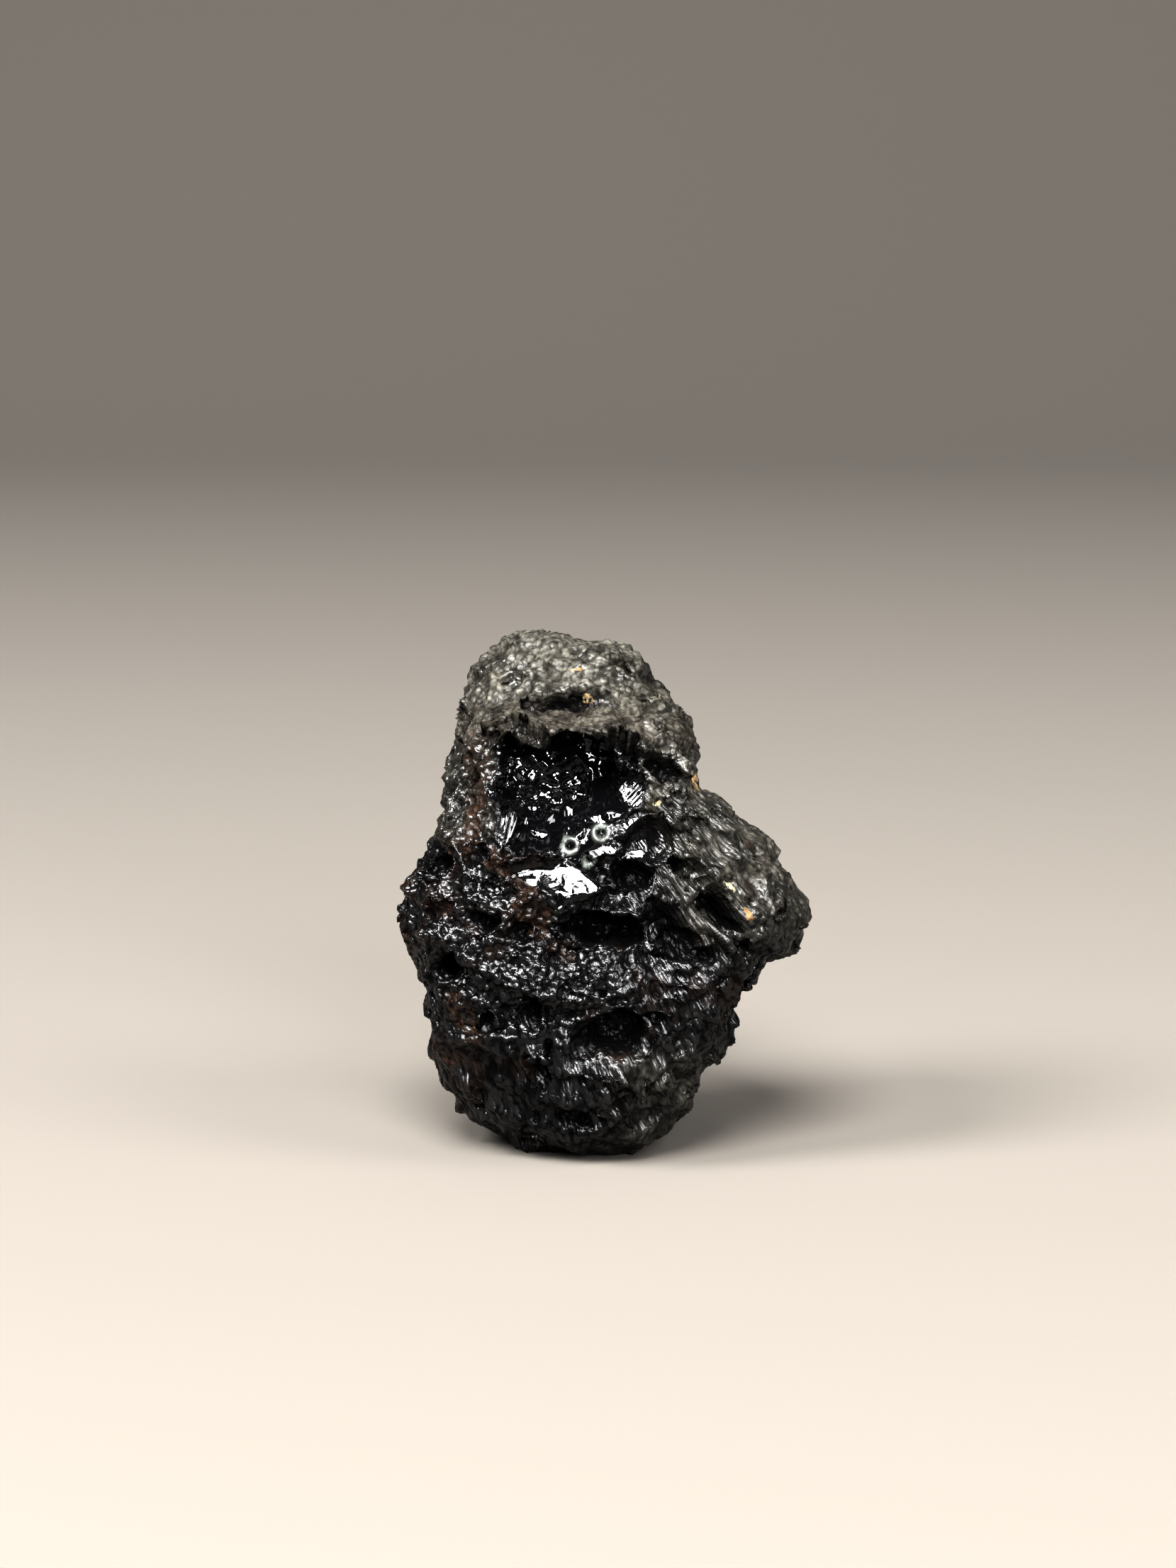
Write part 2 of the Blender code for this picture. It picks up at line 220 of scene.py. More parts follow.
# Hollows on the front, where bubbles burst, as (x, z, half length, half width, turn, depth). A depth below 0
# raises a ridge or a knob
FRONT_HOLLOWS = [
    (-0.9, 5.35, 1.7, 0.6, 0, 0.8),
    (0.05, -1.05, 1.3, 0.55, -6, 1.2),
    (0.86, 0.36, 0.65, 0.38, -12, 0.6),
    (1.7, -0.85, 0.7, 0.6, -40, 0.9),
    (2.14, -1.44, 0.6, 0.45, -40, 0.75),
    (2.72, -1.75, 0.34, 0.3, 0, 0.5),
    (3.16, -2.4, 0.4, 0.22, -60, 0.45),
    (4.34, -2.18, 0.4, 0.25, -40, 0.4),
    (3.4, -0.66, 0.9, 0.45, -40, 0.95),
    (3.82, -1.74, 0.5, 0.34, -35, 0.7),
    (2.1, 0.74, 0.36, 0.26, -25, 0.5),
    (2.28, 1.7, 0.2, 0.18, 0, 0.35),
    (3.06, 0.76, 0.42, 0.2, -40, 0.5),
    (2.76, 0.2, 0.2, 0.15, 0, 0.25),
    (3.78, 0.86, 0.24, 0.2, -20, 0.35),
    (4.1, 1.36, 0.34, 0.24, -30, 0.45),
    (3.22, 2.1, 0.34, 0.22, -40, 0.4),
    (5.0, -0.58, 0.2, 0.18, 0, 0.3),
    (5.44, -0.84, 0.18, 0.15, -20, 0.3),
    (4.55, -0.95, 0.2, 0.15, -30, 0.3),
    (3.95, -2.75, 0.32, 0.28, 0, 0.35),
    (0.3, -4.1, 1.1, 0.7, -8, 0.7),
    (0.35, -4.2, 0.7, 0.45, -5, 0.6),
    (1.5, -3.55, 0.5, 0.3, -30, 0.45),
    (2.15, -5.1, 0.16, 0.42, 8, 0.4),
    (2.35, -5.65, 0.16, 0.3, 25, 0.35),
    (-2.15, -3.4, 0.3, 0.6, 0, 0.75),
    (-3.15, -3.75, 0.22, 0.42, 0, 0.5),
    (-1.8, -5.0, 0.25, 0.5, 0, 0.45),
    (-1.6, -4.3, 0.18, 0.35, 0, 0.35),
    (-2.15, -5.65, 0.45, 0.25, 0, 0.5),
    (-3.4, -5.65, 0.28, 0.24, 0, 0.4),
    (-3.35, -6.1, 0.2, 0.18, 0, 0.3),
    (-1.95, -7.05, 0.34, 0.28, 0, 0.5),
    (-0.9, -6.6, 0.6, 0.25, -5, 0.35),
    (0.7, -5.9, 0.4, 0.3, -40, 0.3),
    (-4.7, -2.9, 0.3, 0.25, 0, 0.35),
    (-4.2, -2.15, 0.55, 0.48, 10, 0.7),
    (-4.5, 0.76, 0.5, 0.27, 5, 0.55),
    (-3.5, 1.02, 0.38, 0.28, 0, 0.45),
    (-3.4, -0.84, 0.6, 0.3, 5, 0.65),
    (-2.2, -1.1, 0.35, 0.25, 0, 0.45),
    (-4.9, -2.1, 0.2, 0.18, 0, 0.25),
    (1.65, 3.5, 0.62, 0.36, -5, 0.6),
    (2.0, 2.95, 0.4, 0.28, -50, 0.35),
    (0.85, 4.2, 0.28, 0.18, 0, 0.35),
    (1.7, 4.5, 0.17, 0.14, 0, 0.25),
    (2.15, 4.0, 0.15, 0.13, 0, 0.2),
    (-1.1, -6.3, 1.3, 0.5, -10, 0.35),
    (-4.2, 2.4, 0.7, 0.3, 75, 0.25),
    (-2.5, 6.3, 0.8, 0.45, 30, 0.3),
    (0.3, 6.35, 0.5, 0.24, 10, 0.45),
    (1.2, 5.35, 0.32, 0.2, 0, 0.4),
    (-1.0, 5.3, 0.65, 0.28, 0, 0.45),
    (-1.9, 5.4, 0.35, 0.22, 0, 0.35),
    (-0.1, 4.95, 0.3, 0.16, 0, 0.25),
    (2.6, 0.9, 1.7, 0.4, -50, -0.3),
    (-1.0, -2.55, 2.3, 0.75, -5, -0.4),
    (-2.5, 0.4, 1.3, 0.4, -55, -0.3),
    (1.2, -2.2, 1.3, 0.4, -15, -0.25),
    (-4.7, -0.2, 0.8, 0.5, 15, -0.25),
    (-0.3, -5.0, 1.5, 0.4, -5, -0.25),
    (3.6, -3.7, 0.22, 0.2, 0, -0.2),
    (3.65, -4.15, 0.2, 0.2, 0, -0.2),
    (3.15, -4.4, 0.18, 0.18, 0, -0.2),
    (3.05, -4.8, 0.18, 0.18, 0, -0.2),
    (5.35, -1.5, 0.2, 0.16, 0, -0.15),
]
HOLLOW_REACH = 2.6

# The plain pebble's half sizes, which give the way inwards, and how far in a front hollow counts as deep
HALF_SIZES = np.array([5.0, FRONT_DEPTH, 7.0])
DEEP_FROM = 0.1
DEEP_AT = 0.45


def around_direction(azimuth, elevation):
    """The direction at an azimuth, 0 at the front and 90 at +X, and an elevation, both in degrees."""
    turned, raised = math.radians(azimuth), math.radians(elevation)
    across = math.cos(raised)
    return np.array([math.sin(turned) * across, -math.cos(turned) * across, math.sin(raised)])


def front_direction(x, z):
    """The direction from the middle to the front point that shows at (x, z)."""
    share = math.hypot(x, z) / outline_radius(np.array([math.atan2(z, x)]), SIDE_BLUR)[0]
    toward = FRONT_DEPTH * max(0.02, 1.0 - share**FULLNESS) ** (1.0 / FULLNESS)
    return unit(np.array([x, -toward, z]))


def oval(points, direction, length, width, turn):
    """The sum of squares (along/length)^2 + (aside/width)^2 + (depth/reach)^2 from the form's point in that
    direction: 0 there and 1 at the oval's edge. Its long axis is turned from +X toward +Z, and its edge
    wanders. Also returns the way inwards."""
    inward = -unit(direction / HALF_SIZES)
    along = np.array([math.cos(math.radians(turn)), 0.0, math.sin(math.radians(turn))])
    along = unit(along - inward * along.dot(inward))
    offset = points + wander - form(direction[None, :])[0]
    axes = np.stack([along / length, np.cross(inward, along) / width, inward / HOLLOW_REACH], axis=-1)
    return ((offset @ axes) ** 2).sum(axis=1), inward


def press(points, direction, length, width, turn, depth):
    """Moves points inwards by depth * (1 - oval), a bowl with a crisp rim, or outwards by a soft ridge of its
    3/2 power if the depth is below 0."""
    spread, inward = oval(points, direction, length, width, turn)
    inside = np.clip(1.0 - spread, 0.0, None)
    return points + np.outer(depth * (inside if depth > 0.0 else inside**1.5), inward)


for azimuth, elevation, *hollow in AROUND_HOLLOWS:
    points = press(points, around_direction(azimuth, elevation), *hollow)
whole = points
for x, z, *hollow in FRONT_HOLLOWS:
    points = press(points, front_direction(x, z), *hollow)
deep = rise(((whole - points) * unit(whole)).sum(axis=1), DEEP_FROM, DEEP_AT)

# Facets on the front, as (x, z, half length, half width, turn, depth, tilt up, tilt to the right, freshness).
# The first is the bright one below the large bubble, and the second the shallow dish to the right of it
FACETS = [
    (-1.2, 0.35, 1.5, 0.6, -17, 0.1, 24, -5, 0.85),
    (1.1, 1.4, 1.1, 0.75, 15, 0.35, 8, 20, 0.62),
    (3.5, 0.9, 1.9, 0.8, -50, 0.2, 25, 35, 0.0),
    (-3.9, 3.4, 1.6, 0.7, 80, 0.2, 10, -40, 0.0),
    (1.9, -5.6, 1.4, 1.0, 30, 0.3, -35, 25, 0.0),
    (-3.0, -5.4, 1.6, 1.0, -35, 0.3, -30, -30, 0.0),
]
FACET_REACH = 0.6
FACET_EDGE = 1.7


def tilted(up, right):
    """The way that a facet faces, tilted up and to the right from the front by these degrees."""
    return unit(np.array([math.tan(math.radians(right)), -1.0, math.tan(math.radians(up))]))


def flatten(points, direction, length, width, turn, depth, up, right):
    """Lays a tilted facet: points move to its plane, fully in the middle of the oval and less toward its
    edge. Also returns how fully."""
    spread, _ = oval(points, direction, length, width, turn)
    facing = tilted(up, right)
    beyond = np.clip((points - form(direction[None, :])[0]) @ facing + depth, -FACET_REACH, None)
    inside = smooth(FACET_EDGE * (1.0 - spread))
    return points - np.outer(beyond * inside, facing), inside * (points[:, 1] < 0.0)


fresh = np.zeros(len(points))
for x, z, *facet, freshness in FACETS:
    points, inside = flatten(points, front_direction(x, z), *facet)
    fresh = np.maximum(fresh, freshness * inside)

# The large bubble that opens on the front: its middle, its depth and how uneven its floor is, the way in, and
# the rim's straight sides as (direction of the side, distance from the middle, width of the wall below that
# side)
CAVITY_MIDDLE = (-1.1, 2.65)
CAVITY_DEPTH = 2.2
CAVITY_UNEVEN = 0.22
CAVITY_UNEVEN_SIZE = 1.1
CAVITY_WAY_IN = np.array([0.0, 0.97, 0.24])
CAVITY_SIDES = [
    (90, 1.74, 0.5),
    (48, 2.1, 0.5),
    (25, 2.28, 0.9),
    (0, 2.2, 1.3),
    (-47, 1.75, 1.2),
    (-92, 1.72, 0.9),
    (-141, 2.06, 0.8),
    (180, 2.05, 0.6),
]
CAVITY_SCALLOP = 0.08
CAVITY_WANDER = 0.6

# The share of the bubble's depth at which its wall is all fresh glass
CAVITY_FRESH = 0.125


def cavity_share(points):
    """0 outside the large bubble's rim and 1 on its floor: the product of an S-curve for each straight side,
    over the width of its wall. Two waves scallop the rim."""
    x, z = points[:, 0] - CAVITY_MIDDLE[0], points[:, 2] - CAVITY_MIDDLE[1]
    scallop = CAVITY_SCALLOP * (np.sin(5.2 * x + 1.0) + np.sin(4.6 * z + 2.0))
    share = rise(points[:, 1], 0.0, -1.5)
    for side, distance, wall in CAVITY_SIDES:
        inside = distance + scallop - x * math.cos(math.radians(side)) - z * math.sin(math.radians(side))
        share = share * smooth(inside / wall)
    return share


opening = cavity_share(points + CAVITY_WANDER * wander)
inward_by = CAVITY_DEPTH * opening * (1.0 + CAVITY_UNEVEN * soft_noise(points, CAVITY_UNEVEN_SIZE, 61))
points = points + np.outer(inward_by, CAVITY_WAY_IN)
opened = smooth(opening / CAVITY_FRESH)
fresh = np.maximum(fresh, opened)

# Small flats of the front that face the light, as (x, z, half length, half width, turn, tilt up, tilt to the
# right, freshness). The fresh ones lie round the large bubble and in its wall, and the worn ones are laid
# only in part
WORN_SHARE = 0.65
WORN_UNTIL = 0.8
PATCHES = [
    (-3.3, -0.2, 0.75, 0.4, -25, 22, -4, 0.0),
    (-4.6, 0.1, 0.6, 0.45, -30, 22, -10, 0.0),
    (-4.5, -1.2, 0.7, 0.4, 20, 22, -8, 0.0),
    (-3.9, -1.65, 0.4, 0.22, 5, 24, -5, 0.0),
    (-2.2, -1.5, 0.45, 0.3, 20, 22, 0, 0.0),
    (-2.1, -2.25, 0.55, 0.28, -25, 23, -5, 0.0),
    (-1.0, -2.1, 0.7, 0.35, 18, 22, 0, 0.0),
    (-3.35, -2.9, 0.5, 0.3, -40, 23, -5, 0.0),
    (-0.85, -2.85, 0.4, 0.25, -35, 22, 5, 0.0),
    (0.4, -2.55, 0.7, 0.35, 28, 22, 0, 0.0),
    (0.6, -0.35, 0.95, 0.42, -24, 22, 4, 0.35),
    (1.3, -1.2, 0.7, 0.28, -65, 24, 15, 0.0),
    (1.9, -1.95, 0.6, 0.25, -10, 23, 5, 0.0),
    (2.35, -2.45, 0.45, 0.35, -20, 23, 5, 0.0),
    (1.85, -2.8, 0.55, 0.22, -30, 22, 0, 0.0),
    (2.75, -2.25, 0.45, 0.25, -30, 22, 5, 0.0),
    (0.45, -3.1, 0.45, 0.2, -10, 22, 0, 0.0),
    (1.7, -3.6, 0.4, 0.2, -35, 22, 0, 0.0),
    (0.1, -5.0, 1.0, 0.4, -45, 22, 0, 0.0),
    (-1.9, -4.4, 0.3, 0.45, 0, 23, 0, 0.0),
    (-0.95, -5.6, 0.25, 0.3, 0, 23, 0, 0.0),
    (1.5, -5.4, 0.5, 0.5, -60, 22, 5, 0.0),
    (-3.5, 0.5, 0.5, 0.28, 10, 22, 0, 0.0),
    (-5.3, -0.85, 0.3, 0.25, 0, 22, -15, 0.0),
    (1.45, -0.05, 0.4, 0.16, -15, 22, 5, 0.0),
    (3.25, -1.3, 1.1, 0.16, -52, 22, 10, 0.0),
    (2.75, -3.2, 0.6, 0.35, -40, 22, 5, 0.0),
    (-3.4, 4.1, 0.7, 0.6, 60, 22, -8, 0.0),
    (-3.2, 3.2, 0.6, 0.3, 80, 22, -8, 0.0),
    (1.7, 2.7, 0.5, 0.3, -40, 22, 5, 0.0),
    (2.6, 2.2, 0.6, 0.25, -40, 22, 8, 0.0),
    (-2.2, 4.5, 0.9, 0.24, -25, 24, 0, 0.5),
    (-0.7, 6.1, 0.5, 0.35, -20, 22, 0, 0.0),
    (-2.6, 6.0, 0.5, 0.3, 20, 22, -8, 0.0),
    (-0.45, 1.3, 0.8, 0.5, 30, 0, -10, 1.0),
    (-2.6, 1.7, 0.6, 0.42, 70, 22, 5, 0.85),
    (-0.42, 1.56, 0.55, 0.15, 47, 22, -5, 0.9),
    (0.05, 0.98, 0.6, 0.32, 12, 22, -5, 0.9),
    (0.78, 0.9, 0.45, 0.24, 0, 22, -5, 0.9),
    (0.42, 1.6, 0.42, 0.36, 30, 22, -5, 0.85),
    (0.88, 1.86, 0.75, 0.26, 27, 22, -5, 0.85),
    (0.8, 2.8, 0.5, 0.42, 50, 22, -12, 0.9),
    (0.5, 4.05, 0.7, 0.24, -42, 22, 0, 0.7),
    (1.9, 2.2, 0.6, 0.3, -50, 24, 10, 0.3),
    (2.2, 3.4, 0.5, 0.25, -60, 22, 15, 0.0),
    (1.45, 4.6, 0.5, 0.25, -20, 24, 5, 0.0),
    (3.6, 0.3, 0.7, 0.25, -50, 22, 20, 0.0),
    (2.25, 1.15, 0.8, 0.24, -60, 22, 12, 0.0),
]
PATCH_REACH = 1.2


def front_oval(points, x, z, length, width, turn):
    """How far inside a turned oval each front point shows, 1 in its middle and 0 from its edge on, and how
    far aside of its long axis."""
    dx, dz = points[:, 0] - x, points[:, 2] - z
    turned = math.radians(turn)
    along = dx * math.cos(turned) + dz * math.sin(turned)
    aside = dz * math.cos(turned) - dx * math.sin(turned)
    inside = np.clip(1.0 - (along / length) ** 2 - (aside / width) ** 2, 0.0, None)
    return inside * (points[:, 1] < 0.0), aside


def lay(points, x, z, length, width, turn, up, right, freshness):
    """Lays a small tilted flat of the front: points move to the plane through the middle one, most in the
    middle of the oval and less toward its edge, and fully only where it is fresh. Also returns how fully."""
    inside = smooth(FACET_EDGE * front_oval(points + wander, x, z, length, width, turn)[0])
    inside *= WORN_SHARE + (1.0 - WORN_SHARE) * smooth(freshness / WORN_UNTIL)
    facing = tilted(up, right)
    beyond = np.clip((points - points[inside.argmax()]) @ facing, -PATCH_REACH, PATCH_REACH)
    return points - np.outer(beyond * inside, facing), inside


lit = np.zeros(len(points))
for *patch, freshness in PATCHES:
    points, inside = lay(points, *patch, freshness)
    lit = np.maximum(lit, inside)
    opened *= 1.0 - inside
    deep *= 1.0 - inside
    fresh = np.maximum(fresh * (1.0 - inside), freshness * inside)

# Dimples etched all over but the fresh glass, as (spacing, depth, seed). Their radius is a share of the
# spacing, and the mean is the depth that they take on average, so that the stone keeps its size
DIMPLES = [(1.55, 0.26, 11), (0.8, 0.2, 29)]
DIMPLE_RADIUS = 0.8
DIMPLE_MEAN = 0.35


def nearest_seed(points, size, seed):
    """Distance to the nearest of the points scattered one to a cell, in cell sizes."""
    scaled = points / size
    cell = np.floor(scaled).astype(np.int64)
    nearest = np.full(len(points), np.inf)
    for step in np.ndindex(3, 3, 3):
        there = cell + np.array(step) - 1
        nearest = np.minimum(nearest, np.linalg.norm(there + cell_random(there, seed) - scaled, axis=1))
    return nearest


for size, depth, seed in DIMPLES:
    dimple = np.clip(1.0 - (nearest_seed(points, size, seed) / DIMPLE_RADIUS) ** 2, 0.0, None)
    change = depth * (DIMPLE_MEAN - dimple) * (1.0 - fresh)
    points = points + facing_out(points, squares) * change[:, None]

# The lines of flow fan out from a source over the stone's upper left. Their scale along the flow is stretched
FLOW_SOURCE = (-4.0, 8.0)
FLOW_RADIUS = 10.0
FLOW_STRETCH = 4.5

# Etching breaks up the fresh facets in spots along the flow: how much, and the size of the spots
FRESH_WEAR = 0.7
FRESH_WEAR_SIZE = 0.25


def flow_coordinates(points):
    """Places along and across the lines of flow: the distance from their source, shortened by the stretch,
    the angle about it times a middle radius, and the depth."""
    x, z = points[:, 0] - FLOW_SOURCE[0], points[:, 2] - FLOW_SOURCE[1]
    return np.stack([np.hypot(x, z) / FLOW_STRETCH, np.arctan2(z, x) * FLOW_RADIUS, points[:, 1]], axis=-1)


worn = smooth(1.5 * soft_noise(flow_coordinates(points), FRESH_WEAR_SIZE, 63) - 0.1)
fresh *= 1.0 - FRESH_WEAR * worn * (1.0 - opened)
skin = 1.0 - smooth(1.4 * fresh)

# How far the skin is drawn out along the flow: on the right and at the foot, and not on the lump on top
DRAWN_MOST = 0.85

x, y, z = points.T
drawn = rise(x, -0.3, 1.9) * (1.0 - 0.6 * rise(x, 3.4, 4.6))
drawn = DRAWN_MOST * np.maximum(drawn, rise(z, -3.2, -5.2)) * rise(z, 3.6, 2.4)

# Ledges: slopes that face up, each ending below in a short underside, which is this share of their spacing.
# They bend down toward both sides of a line, wave, fade in and out, and are nearly worn away on the front
LEDGE_SPACING = 1.15
LEDGE_HEIGHT = 0.2
LEDGE_UNDERSIDE = 0.25
LEDGE_MEAN = 0.4
LEDGE_BEND = 0.06
LEDGE_CREST = -2.0
LEDGE_WAVE = 1.1
LEDGE_WAVE_SIZE = 1.9
LEDGE_FADE_SIZE = 1.5
LEDGE_FRONT_WEAR = 0.9

# Round bubble pits as (spacing, share of cells that hold one, least radius, largest radius, depth per radius,
# seed)
PITS = [(1.3, 0.4, 0.25, 0.45, 0.7, 31), (0.7, 0.5, 0.1, 0.24, 1.0, 5), (0.4, 0.5, 0.06, 0.12, 1.0, 17)]
PIT_WANDER = 0.5

# Cups in the large bubble's wall, as (spacing, depth, seed)
CUPS = [(0.6, 0.24, 37), (0.34, 0.12, 39), (0.2, 0.02, 38)]
CUP_RADIUS = 0.8
CUP_MEAN = 0.6
CUP_WANDER = 0.3


def burst_bubbles(points, spacing, share, least, largest, deep, seed):
    """The depth of the deepest round pit at each point. A cell of the lattice may hold one, at a random place
    and with a random radius, and its depth there is deep * radius * (1 - (distance/radius)^2)."""
    scaled = points / spacing
    cell = np.floor(scaled).astype(np.int64)
    depth = np.zeros(len(points))
    for step in np.ndindex(3, 3, 3):
        there = cell + np.array(step) - 1
        distance = np.linalg.norm(there + cell_random(there, seed) - scaled, axis=1) * spacing
        chance = cell_random(there, seed + 1)
        radius = least + (largest - least) * chance[:, 0] ** 2
        bowl = deep * radius * (1.0 - (distance / radius) ** 2)
        depth = np.maximum(depth, np.where(chance[:, 1] < share, bowl, 0.0))
    return depth


outward = facing_out(points, squares)
bent = z + LEDGE_BEND * (x - LEDGE_CREST) ** 2
step = (bent + LEDGE_WAVE * soft_noise(points, LEDGE_WAVE_SIZE, 51)) / LEDGE_SPACING
step -= np.floor(step)
ledge = LEDGE_HEIGHT * ((1.0 - step) * smooth(step / LEDGE_UNDERSIDE) - LEDGE_MEAN)
ledge *= smooth(1.0 + 1.5 * soft_noise(points, LEDGE_FADE_SIZE, 52))
ledge *= 1.0 - LEDGE_FRONT_WEAR * rise(outward[:, 1], -0.3, -0.8)
pitted = sum(burst_bubbles(points + PIT_WANDER * wander, *pits) for pits in PITS)
cupped = np.zeros(len(points))
for size, depth, seed in CUPS:
    cupped += depth * (CUP_MEAN - (nearest_seed(points + CUP_WANDER * wander, size, seed) / CUP_RADIUS) ** 2)
change = skin * (ledge - pitted) - opened * cupped
points = points + outward * change[:, None]

# Grain of the skin, as (spacing, height, seed): round droplets, and droplets drawn out along the flow. The
# coarse grain, with a spacing over this, is lower by this share on the lower half
GRAINS = [(0.3, 0.08, 3), (0.17, 0.06, 4)]
FLOW_GRAINS = [(0.4, 0.07, 6), (0.2, 0.09, 7), (0.12, 0.03, 8)]
COARSE_OVER = 0.25
COARSE_LESS = 0.55
GRAIN_RADIUS = 0.75
GRAIN_MEAN = 0.57
GRAIN_WANDER = 0.3

# Low waves along the flow on the fresh facets
FRESH_WAVE = 0.018
FRESH_WAVE_SIZE = 0.15

rough = np.zeros(len(points))
coarse = 1.0 - COARSE_LESS * rise(points[:, 2], 0.0, -2.0)
strayed = points + GRAIN_WANDER * wander
for grained, grains, share in (
    (strayed, GRAINS, 1.0 - drawn),
    (flow_coordinates(strayed), FLOW_GRAINS, drawn),
):
    for size, height, seed in grains:
        droplet = height * (GRAIN_MEAN - (nearest_seed(grained, size, seed) / GRAIN_RADIUS) ** 2)
        rough += share * droplet * (coarse if size > COARSE_OVER else 1.0)
waves = FRESH_WAVE * soft_noise(flow_coordinates(points), FRESH_WAVE_SIZE, 62)
change = skin * rough + (1.0 - opened) * fresh * waves

# Small burst bubbles with raised lips at the large bubble's rim, as (x, z, radius)
RINGS = [(-0.9, 1.25, 0.18), (-0.05, 1.6, 0.2), (-0.38, 0.88, 0.15)]
RING_LIP = 0.1
RING_LIP_WIDTH = 0.05
RING_HOLE = 0.3
RING_BEHIND = 4.0

# Flutes in the large bubble's wall, as (x, z, half length, half width, turn, spacing, height)
FLUTES = [
    (0.8, 2.8, 0.6, 0.45, 48, 0.2, 0.035),
    (-2.6, 1.7, 0.75, 0.5, 78, 0.24, 0.04),
]

# Painted highlight: the raised lips are marked here and turned pale grey in the glass's colour
painted_lip_highlight = np.zeros(len(points))
for x, z, radius in RINGS:
    distance = np.hypot(points[:, 0] - x, points[:, 2] - z) + RING_BEHIND * (points[:, 1] > 0.0)
    lip = np.exp(-(((distance - radius) / RING_LIP_WIDTH) ** 2))
    hole = np.clip(1.0 - (distance / radius) ** 2, 0.0, None)
    points[:, 1] -= RING_LIP * lip - RING_HOLE * hole
    change *= smooth(distance / radius - 0.9)
    painted_lip_highlight = np.maximum(painted_lip_highlight, lip)
for x, z, *flute, spacing, height in FLUTES:
    inside, aside = front_oval(points, x, z, *flute)
    change += height * smooth(2.0 * inside) * np.sin(2.0 * math.pi * aside / spacing)
points = points + outward * change[:, None]

# Clay stains the glass in patches, as (size, strength, seed), and most in bands, as (x, z, half length, half
# width, turn). Its brown is also a painted warm reflection, most where there is more of it low on the left.
# There is a thin veil of it on the slope over the large bubble. The large bubble has none, outside the veil
# the deep hollows have none, as painted shade, and the flats that face the light have less
CLAY_PATCHES = [(1.4, 0.9, 71), (0.5, 0.5, 72)]
CLAY_LACK = 0.35
CLAY_AND_WARM_REFLECTION_LOW_LEFT = 0.4
CLAY_BAND = 0.9
CLAY_VEIL = 0.3
CLAY_VEIL_HEIGHT = 4.6
CLAY_VEIL_WIDTH = 0.9
CLAY_BANDS = [
    (-2.7, 0.75, 0.8, 0.35, -45),
    (-2.0, -0.4, 1.1, 0.45, -65),
    (-3.9, -3.3, 0.8, 0.4, -57),
    (-2.25, -4.9, 0.6, 0.3, -80),
    (-3.5, 3.0, 2.4, 0.4, 85),
    (-4.0, -5.0, 1.2, 0.6, -50),
]

x, y, z = points.T
clay_and_warm_reflection = CLAY_AND_WARM_REFLECTION_LOW_LEFT * rise(x, 1.5, -2.5) * rise(z, 3.5, 0.5) - CLAY_LACK
for size, strength, seed in CLAY_PATCHES:
    clay_and_warm_reflection += strength * soft_noise(points, size, seed)
for band in CLAY_BANDS:
    clay_and_warm_reflection += CLAY_BAND * smooth(2.0 * front_oval(points + wander, *band)[0])
veil = CLAY_VEIL * smooth(1.0 - np.abs(z - CLAY_VEIL_HEIGHT) / CLAY_VEIL_WIDTH)
# Painted shade: the deep hollows lose their clay and stay black. The flats that face the light also get less
# of it
clay_and_warm_reflection = (1.0 - opened) * np.maximum(smooth(clay_and_warm_reflection) * (1.0 - deep) * (1.0 - 0.6 * lit), veil)

# Weathering has frosted the skin: all over the lump on top, from the first height to the second, and less on
# the right shoulder, the cheek beside the large bubble, the left of it and the foot. Each of these is
# (strength, x where it starts, x where it is full, z where it starts, z where it is full). The frosted grey
# is
# also painted light: it lightens the lump on top where the light from above falls, and lays a painted sheen
# on the right shoulder and the foot. Fresh glass stays clear, and deep hollows keep little of it, as painted
# shade
FROST_AND_LIGHT_TOP = (3.7, 4.6)
FROST_AND_LIGHT_PARTS = [
    (0.85, 1.0, 3.0, -2.5, 0.5),
    (0.85, 0.8, 1.5, 1.6, 2.6),
    (0.4675, -2.4, -3.2, 1.0, 2.0),
    (0.425, -0.4, 1.2, -3.8, -5.0),
]
FROST_MEAN = 0.75
FROST_UNEVEN = 0.4
FROST_UNEVEN_SIZE = 0.6

frost_and_painted_light = rise(z, *FROST_AND_LIGHT_TOP)
for strength, x_start, x_full, z_start, z_full in FROST_AND_LIGHT_PARTS:
    frost_and_painted_light = np.maximum(frost_and_painted_light, strength * rise(x, x_start, x_full) * rise(z, z_start, z_full))
# Painted shade: the deep hollows lose most of the frosted grey and stay dark
frost_and_painted_light *= (1.0 - fresh) * (1.0 - 0.85 * deep)
frost_and_painted_light *= FROST_MEAN + FROST_UNEVEN * soft_noise(points, FROST_UNEVEN_SIZE, 73)

# Flecks of soil caught in the skin, as (x, z, half length, half width, turn, paleness)
FLECKS = [
    (3.98, -0.6, 0.34, 0.16, -45, 0.2),
    (3.5, 0.15, 0.3, 0.1, -45, 1.0),
    (1.5, 2.45, 0.2, 0.12, 0, 0.9),
    (2.55, 3.0, 0.25, 0.35, 0, 0.3),
    (-0.5, 5.4, 0.3, 0.15, 0, 0.5),
    (1.85, 5.55, 0.35, 0.3, 0, 0.7),
    (-0.8, 6.2, 0.2, 0.1, 0, 0.3),
]

soil = np.zeros(len(points))
pale = np.zeros(len(points))
for fleck_x, fleck_z, *fleck, paleness in FLECKS:
    inside = front_oval(points + 0.5 * wander, fleck_x, fleck_z, *fleck)[0] * smooth(-3.0 * outward[:, 1])
    pale = np.where(inside > soil, paleness, pale)
    soil = np.maximum(soil, inside)

# How far each point stands up among the grains, with painted light and shade in it. Flats laid to face the
# light stand up more, a painted highlight, and deep hollows and pits less, painted shade
GRAIN_STEP = 0.12
PIT_DEEP = 0.2

